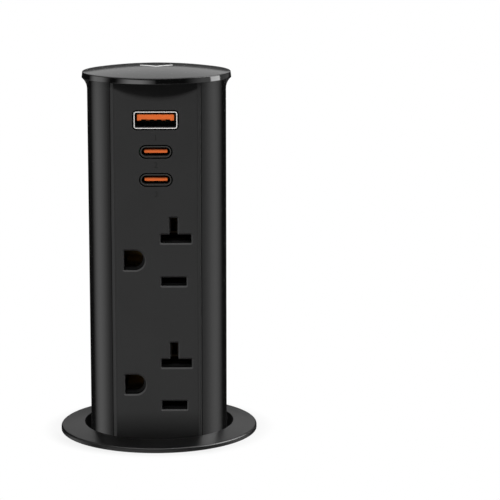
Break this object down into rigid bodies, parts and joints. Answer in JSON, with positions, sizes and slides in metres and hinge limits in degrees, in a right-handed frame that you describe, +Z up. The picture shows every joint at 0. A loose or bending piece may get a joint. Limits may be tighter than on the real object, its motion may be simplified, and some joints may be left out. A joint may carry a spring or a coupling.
{
  "type": "pop up desk socket",
  "caption": "Round spring-lifted power tower with a flat socket face, outlets and charging ports, rising out of a flanged sleeve that clamps into a desk hole.",
  "frame": {"origin": "centre of the flange's underside, on the desk top", "axes": "+Z up out of the desk, -Y towards the user, the way the outlets face, +X to the user's right"},
  "size_m": [0.066, 0.066, 0.2753],
  "materials": {
    "collar_black": "satin black moulding",
    "lid_black": "satin top and glossy rim, black",
    "shell_black": "satin black moulding",
    "panel_black": "matte black moulding",
    "nut_black": "plain black moulding",
    "rubber_black": "matte rubber",
    "washer_steel": "zinc plated",
    "screw_steel": "zinc plated",
    "spring_steel": "drawn wire",
    "latch_plastic": "natural plastic",
    "insulator": "black moulded insulator",
    "contact_brass": "stamped strip",
    "board_green": "solder mask",
    "port_bright": "bright nickel",
    "port_dark": "dark nickel",
    "tongue_orange": "moulded orange plastic",
    "transformer_yellow": "insulating tape",
    "capacitor_sleeve": "shrink sleeve"
  },
  "bodies": {
    "housing": {"collar_sleeve": "collar_black", "flange_gasket": "rubber_black", "stop_bumper": "rubber_black", "bottom_cap": "nut_black", "bottom_cap_screws": "screw_steel", "cord_grommet": "rubber_black", "lift_spring": "spring_steel", "latch_body": "latch_plastic", "latch_screws": "screw_steel", "latch_pins": "screw_steel", "jaw_springs": "spring_steel"},
    "tower": {"lid": "lid_black", "lid_screws": "screw_steel", "top_bridge": "shell_black", "front_shell": "shell_black", "rear_shell": "shell_black", "socket_panel": "panel_black", "carriage": "nut_black", "carriage_screws": "screw_steel", "striker": "screw_steel", "contact_block": "insulator", "contact_cover": "insulator", "block_screws": "screw_steel", "hot_bus": "contact_brass", "neutral_bus": "contact_brass", "ground_bus": "contact_brass", "terminal_block": "insulator", "terminal_screws": "contact_brass", "charger_board": "board_green", "board_screws": "screw_steel", "usb_a_shell": "port_bright", "usb_a_tongue": "tongue_orange", "usb_a_contacts": "contact_brass", "usb_c_upper_shell": "port_dark", "usb_c_upper_tongue": "tongue_orange", "usb_c_lower_shell": "port_dark", "usb_c_lower_tongue": "tongue_orange", "transformer": "transformer_yellow", "capacitors": "capacitor_sleeve"},
    "jaw_right": {"latch_jaw_right": "latch_plastic"},
    "jaw_left": {"latch_jaw_left": "latch_plastic"},
    "washer": {"clamp_washer": "washer_steel"},
    "nut": {"clamp_nut": "nut_black"}
  },
  "joints": [
    {"name": "tower_slide", "type": "slide", "parent": "housing", "child": "tower", "axis": [0, 0, 1], "range_m": [-0.108, 0], "stiffness_N_per_m": 45, "springref_m": 0.15, "deforming": ["lift_spring"]},
    {"name": "jaw_right_swing", "type": "hinge", "parent": "housing", "child": "jaw_right", "pos_m": [0.006, 0, -0.149], "axis": [0, -1, 0], "range_deg": [0, 10], "stiffness_Nm_per_rad": 0.004},
    {"name": "jaw_left_swing", "type": "hinge", "parent": "housing", "child": "jaw_left", "pos_m": [-0.006, 0, -0.149], "axis": [0, 1, 0], "range_deg": [0, 10]},
    {"name": "washer_slide", "type": "slide", "parent": "housing", "child": "washer", "axis": [0, 0, 1], "range_m": [-0.0161, 0.0161]},
    {"name": "nut_turn", "type": "hinge", "parent": "washer", "child": "nut", "pos_m": [0, 0, -0.032], "axis": [0, 0, 1], "range_deg": [-1920, 1920]}
  ],
  "couplings": [
    {"joint": "jaw_left_swing", "follows": "jaw_right_swing", "ratio": 1},
    {"joint": "washer_slide", "follows": "nut_turn", "m_per_rad": 0.00047746}
  ]
}
